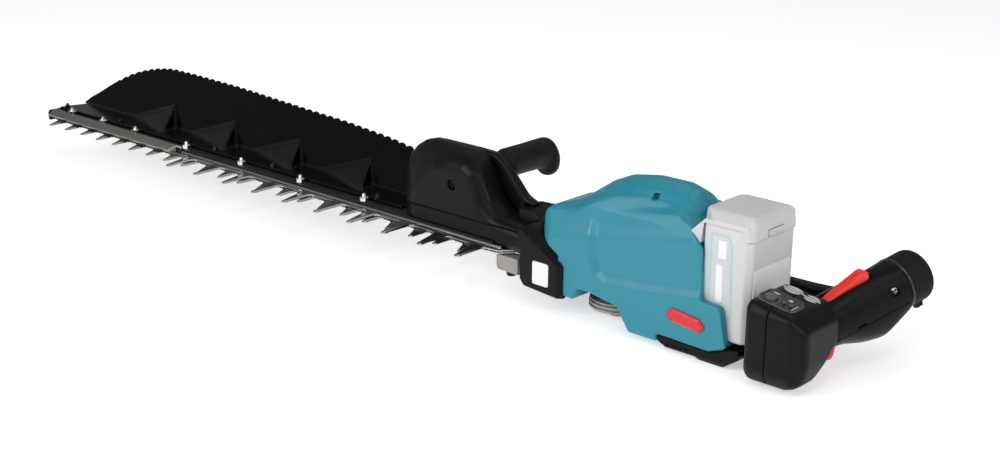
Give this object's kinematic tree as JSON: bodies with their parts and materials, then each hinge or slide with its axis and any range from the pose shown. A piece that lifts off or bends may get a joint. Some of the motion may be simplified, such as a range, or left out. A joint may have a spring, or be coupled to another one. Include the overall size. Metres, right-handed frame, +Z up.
{
  "type": "hedge trimmer",
  "caption": "Single-sided battery hedge trimmer: reciprocating blades with a scalloped chip plate, hand guard, transverse front grip, slide-in battery and a looped rear grip with trigger.",
  "frame": {"origin": "middle of the flat underside of the foot pad under the battery bay", "axes": "+X from the blade tip back to the rear grip, +Z up, the cutting teeth face -Y"},
  "size_m": [1.2038, 0.2215, 0.151],
  "materials": {
    "blade_steel": "ground, dark flats with bright bevels",
    "bar_steel": "black oxide",
    "strip_steel": "plain rolled",
    "zinc_steel": "bright zinc",
    "dark_screw": "black oxide",
    "black_plastic": "fine grain",
    "grip_rubber": "soft, fine texture",
    "teal_plastic": "satin moulded",
    "red_plastic": "satin moulded",
    "badge_red": "glossy raised badge, blank",
    "cast_alloy": "die cast",
    "gear_steel": "ground",
    "motor_core": "laminated core with copper",
    "felt": "felt",
    "battery_grey": "light grey moulded",
    "battery_accent": "pale printed strip, blank",
    "label_white": "blank white sticker",
    "cell_wrap": "shrink wrap",
    "panel_grey": "membrane panel",
    "button_grey": "soft button",
    "lens_green": "clear lens"
  },
  "bodies": {
    "frame": {"bar_bolts": "zinc_steel", "bar_nose": "black_plastic", "bar_nuts": "zinc_steel", "bearings": "gear_steel", "blank_labels": "label_white", "body_shell_far": "teal_plastic", "body_shell_near": "teal_plastic", "box_front_shell": "black_plastic", "box_rear_shell": "black_plastic", "bridge": "black_plastic", "button_switch": "black_plastic", "case_screws": "zinc_steel", "chip_plate": "black_plastic", "controller": "black_plastic", "cover_strip": "strip_steel", "drip_stub": "black_plastic", "far_arm": "black_plastic", "felt_seal": "felt", "foot": "black_plastic", "front_grip_core": "black_plastic", "front_grip_cover": "grip_rubber", "front_grip_lip": "grip_rubber", "front_housing": "black_plastic", "gear_case": "cast_alloy", "gear_case_nose": "cast_alloy", "gear_cover": "cast_alloy", "grip_end_cap": "grip_rubber", "grip_lower_shell": "black_plastic", "grip_pins": "zinc_steel", "grip_ring": "grip_rubber", "grip_upper_shell": "black_plastic", "guard_bracket": "black_plastic", "guard_skirt": "black_plastic", "guide_bar": "bar_steel", "hand_guard": "black_plastic", "micro_switch": "black_plastic", "motor_frame": "cast_alloy", "motor_stator": "motor_core", "panel_lenses": "lens_green", "plate_screws": "dark_screw", "side_badge": "badge_red", "switch_panel": "panel_grey", "terminal_block": "black_plastic"},
    "upper_blade": {"upper_blade": "blade_steel"},
    "lower_blade": {"lower_blade": "blade_steel"},
    "crank": {"crank_gear": "gear_steel", "crank_shaft": "gear_steel"},
    "rotor": {"motor_rotor": "motor_core", "motor_shaft": "gear_steel", "motor_pinion": "gear_steel", "motor_fan": "black_plastic"},
    "trigger": {"trigger": "red_plastic"},
    "lock_lever": {"lock_lever": "red_plastic"},
    "power_button": {"power_button": "button_grey"},
    "battery": {"battery_case": "battery_grey", "battery_cap": "battery_grey", "battery_cells": "cell_wrap", "battery_strip": "battery_accent", "battery_label": "label_white"},
    "battery_latch": {"latch_button": "battery_grey"}
  },
  "joints": [
    {"name": "lower_blade_slide", "type": "slide", "parent": "frame", "child": "lower_blade", "axis": [1, 0, 0], "range_m": [-0.0085, 0.0085]},
    {"name": "upper_blade_slide", "type": "slide", "parent": "frame", "child": "upper_blade", "axis": [1, 0, 0], "range_m": [-0.0085, 0.0085]},
    {"name": "crank_spin", "type": "hinge", "parent": "frame", "child": "crank", "pos_m": [-0.14, 0, 0.049], "axis": [0, 0, 1], "continuous": true},
    {"name": "rotor_spin", "type": "hinge", "parent": "frame", "child": "rotor", "pos_m": [-0.104, 0, 0.099], "axis": [0, 0, 1], "continuous": true},
    {"name": "trigger_pull", "type": "hinge", "parent": "frame", "child": "trigger", "pos_m": [0.08957, 0.03952, 0.0418], "axis": [0.9513, -0.3083, 0], "range_deg": [-8, 0], "stiffness_Nm_per_rad": 0.5, "springref_deg": 5.16},
    {"name": "lock_lever_press", "type": "hinge", "parent": "frame", "child": "lock_lever", "pos_m": [0.08184, 0.01568, 0.06435], "axis": [0.9513, -0.3083, 0], "range_deg": [-7, 0], "stiffness_Nm_per_rad": 0.4, "springref_deg": 5.73},
    {"name": "power_button_press", "type": "slide", "parent": "frame", "child": "power_button", "axis": [-0.1644, 0, -0.9864], "range_m": [0, 0.0012], "stiffness_N_per_m": 800, "springref_m": -0.001},
    {"name": "battery_slide", "type": "slide", "parent": "frame", "child": "battery", "axis": [0, 0, 1], "range_m": [0, 0.13]},
    {"name": "latch_press", "type": "slide", "parent": "battery", "child": "battery_latch", "axis": [-1, 0, 0], "range_m": [0, 0.002], "stiffness_N_per_m": 600, "springref_m": -0.002}
  ],
  "couplings": [
    {"joint": "lower_blade_slide", "follows": "upper_blade_slide", "ratio": -1},
    {"joint": "rotor_spin", "follows": "crank_spin", "ratio": -3}
  ]
}
